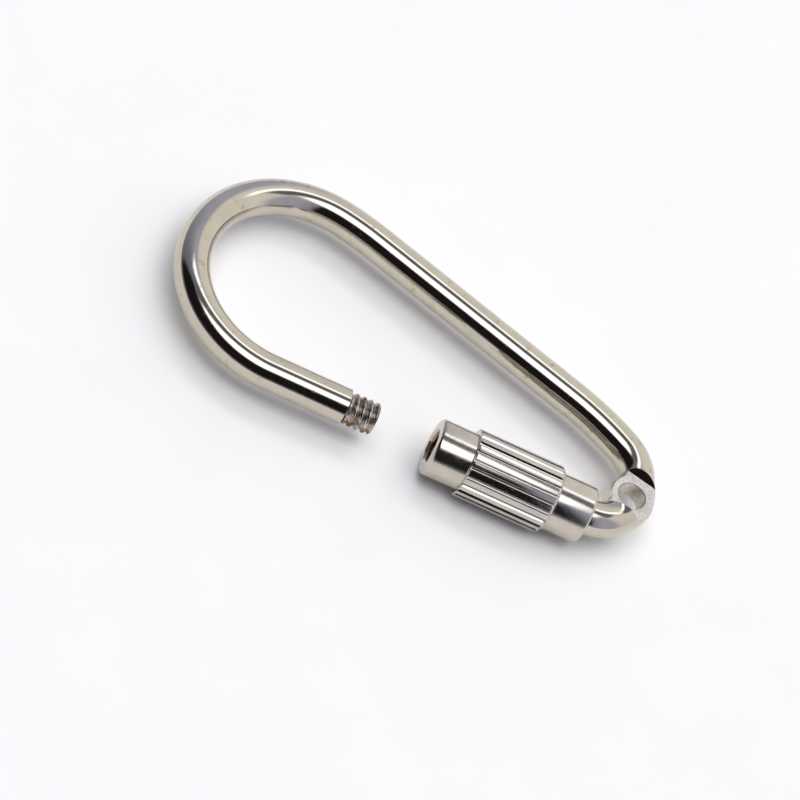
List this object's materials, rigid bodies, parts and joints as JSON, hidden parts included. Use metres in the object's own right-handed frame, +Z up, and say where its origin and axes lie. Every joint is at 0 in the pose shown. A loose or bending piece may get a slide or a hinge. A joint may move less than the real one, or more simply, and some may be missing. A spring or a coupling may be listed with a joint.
{
  "type": "screw-lock carabiner keyring",
  "caption": "Long teardrop carabiner of bent round bar with a pierced eye; a knurled sleeve slides and turns on its arm and screws onto the threaded tip to close the gate.",
  "frame": {"origin": "middle of the outline seen from above, level with the lowest point of the knurled band", "axes": "+X from the big bend to the eye along the length, +Y from the gate to the straight back, +Z up out of the flat of the bar"},
  "size_m": [0.0592, 0.0282, 0.0077],
  "materials": {
    "bow": "polished nickel plate with fine scratches",
    "sleeve": "nickel plate, turned collars and a knurled band",
    "bush": "turned",
    "collar": "turned"
  },
  "bodies": {
    "bow": {"bow": "bow", "stop_collar": "collar"},
    "guide": {"guide_bush": "bush"},
    "sleeve": {"sleeve": "sleeve"}
  },
  "joints": [
    {"name": "sleeve_slide", "type": "slide", "parent": "bow", "child": "guide", "axis": [-0.987, -0.1607, 0], "range_m": [0, 0.01015]},
    {"name": "sleeve_spin", "type": "hinge", "parent": "guide", "child": "sleeve", "pos_m": [0.00495, -0.00889, 0.00384], "axis": [-0.987, -0.1607, 0], "range_deg": [0, 4568]}
  ],
  "couplings": [
    {"joint": "sleeve_spin", "follows": "sleeve_slide", "rad_per_m": 7854}
  ]
}
